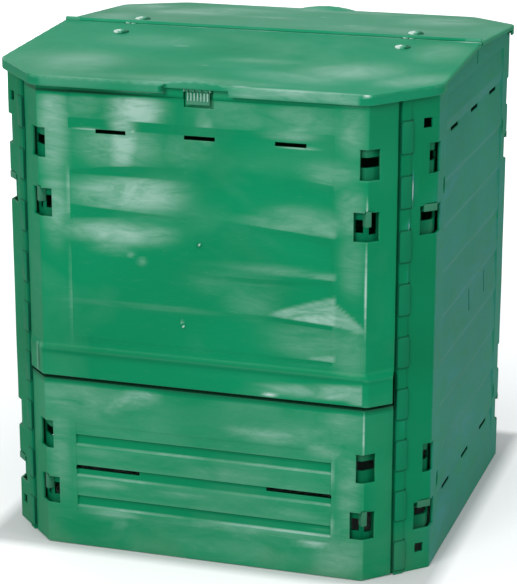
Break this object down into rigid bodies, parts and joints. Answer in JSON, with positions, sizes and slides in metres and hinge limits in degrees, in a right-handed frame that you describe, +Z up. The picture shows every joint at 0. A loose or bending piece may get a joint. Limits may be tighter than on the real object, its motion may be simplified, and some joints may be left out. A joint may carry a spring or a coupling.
{
  "type": "compost bin",
  "caption": "Square garden compost bin of hooked plastic panels, with louvred removal flaps at front and rear and a two-part roof lid that hinges on a ridge bar.",
  "frame": {"origin": "bottom centre of the bin, on the ground plane", "axes": "+Z up; the front, with the flap and latch that face the viewer, faces -Y; +X to the viewer's right, along the ridge bar"},
  "size_m": [0.7356, 0.7468, 0.8252],
  "materials": {
    "panel": "moulded recycled polypropylene, green with cloudy pale flow marks, satin gloss with light scuffs",
    "side": "moulded recycled polypropylene, darker bluish green, satin gloss with light scuffs",
    "lid": "moulded recycled polypropylene, lighter green, satin gloss, dusty on top",
    "fitting": "moulded polypropylene, deep green, satin"
  },
  "bodies": {
    "bin": {"right_side_wall": "side", "left_side_wall": "side", "front_upper_panel": "panel", "rear_upper_panel": "panel", "front_right_lower_bracket": "fitting", "rear_right_lower_bracket": "fitting", "rear_left_lower_bracket": "fitting", "front_left_lower_bracket": "fitting", "front_right_upper_bracket": "fitting", "rear_right_upper_bracket": "fitting", "rear_left_upper_bracket": "fitting", "front_left_upper_bracket": "fitting", "ridge_bar": "lid"},
    "front_lid": {"front_lid_half": "lid", "front_left_hinge_clip": "lid", "front_right_hinge_clip": "lid"},
    "rear_lid": {"rear_lid_half": "lid", "rear_left_hinge_clip": "lid", "rear_right_hinge_clip": "lid"},
    "front_latch": {"front_lid_latch": "fitting"},
    "rear_latch": {"rear_lid_latch": "fitting"},
    "front_flap": {"front_removal_flap": "panel"},
    "rear_flap": {"rear_removal_flap": "panel"}
  },
  "joints": [
    {"name": "front_lid_hinge", "type": "hinge", "parent": "bin", "child": "front_lid", "pos_m": [0, 0, 0.8202], "axis": [-1, 0, 0], "range_deg": [0, 90]},
    {"name": "rear_lid_hinge", "type": "hinge", "parent": "bin", "child": "rear_lid", "pos_m": [0, 0, 0.8202], "axis": [1, 0, 0], "range_deg": [0, 90]},
    {"name": "front_latch_pivot", "type": "hinge", "parent": "front_lid", "child": "front_latch", "pos_m": [0, -0.3645, 0.78756], "axis": [-1, 0, 0], "range_deg": [-5, 80]},
    {"name": "rear_latch_pivot", "type": "hinge", "parent": "rear_lid", "child": "rear_latch", "pos_m": [0, 0.3645, 0.78756], "axis": [1, 0, 0], "range_deg": [-5, 80]},
    {"name": "front_flap_lift", "type": "slide", "parent": "bin", "child": "front_flap", "axis": [0, 0, 1], "range_m": [0, 0.02]},
    {"name": "rear_flap_lift", "type": "slide", "parent": "bin", "child": "rear_flap", "axis": [0, 0, 1], "range_m": [0, 0.02]}
  ]
}
